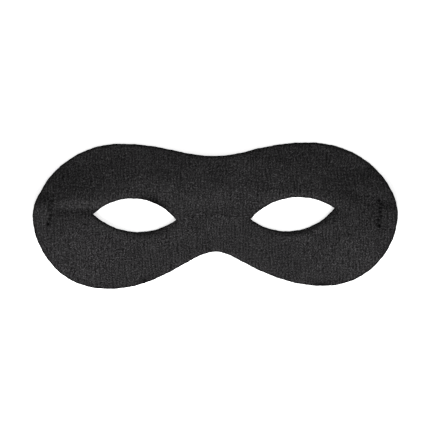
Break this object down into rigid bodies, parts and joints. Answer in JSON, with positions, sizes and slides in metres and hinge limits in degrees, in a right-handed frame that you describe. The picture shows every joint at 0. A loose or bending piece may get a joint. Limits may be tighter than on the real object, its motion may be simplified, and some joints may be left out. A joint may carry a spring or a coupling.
{
  "type": "domino eye mask",
  "caption": "Flat half-face eye mask of dark soft cloth with almond eye holes, a dipped brow, a nose notch, and a sewn elastic head strap tucked behind it.",
  "frame": {"origin": "on the surface that the mask lies on, under the middle of its outline", "axes": "+X along the mask, to the right of its face; +Y up to the brow; +Z out of its face"},
  "size_m": [0.2, 0.079, 0.0062],
  "materials": {
    "mask_cloth": "matt fine-ribbed charcoal cloth on a thin foam sheet",
    "strap_elastic": "black woven flat elastic"
  },
  "bodies": {
    "root": {"mask": "mask_cloth", "head_strap": "strap_elastic"}
  },
  "joints": []
}
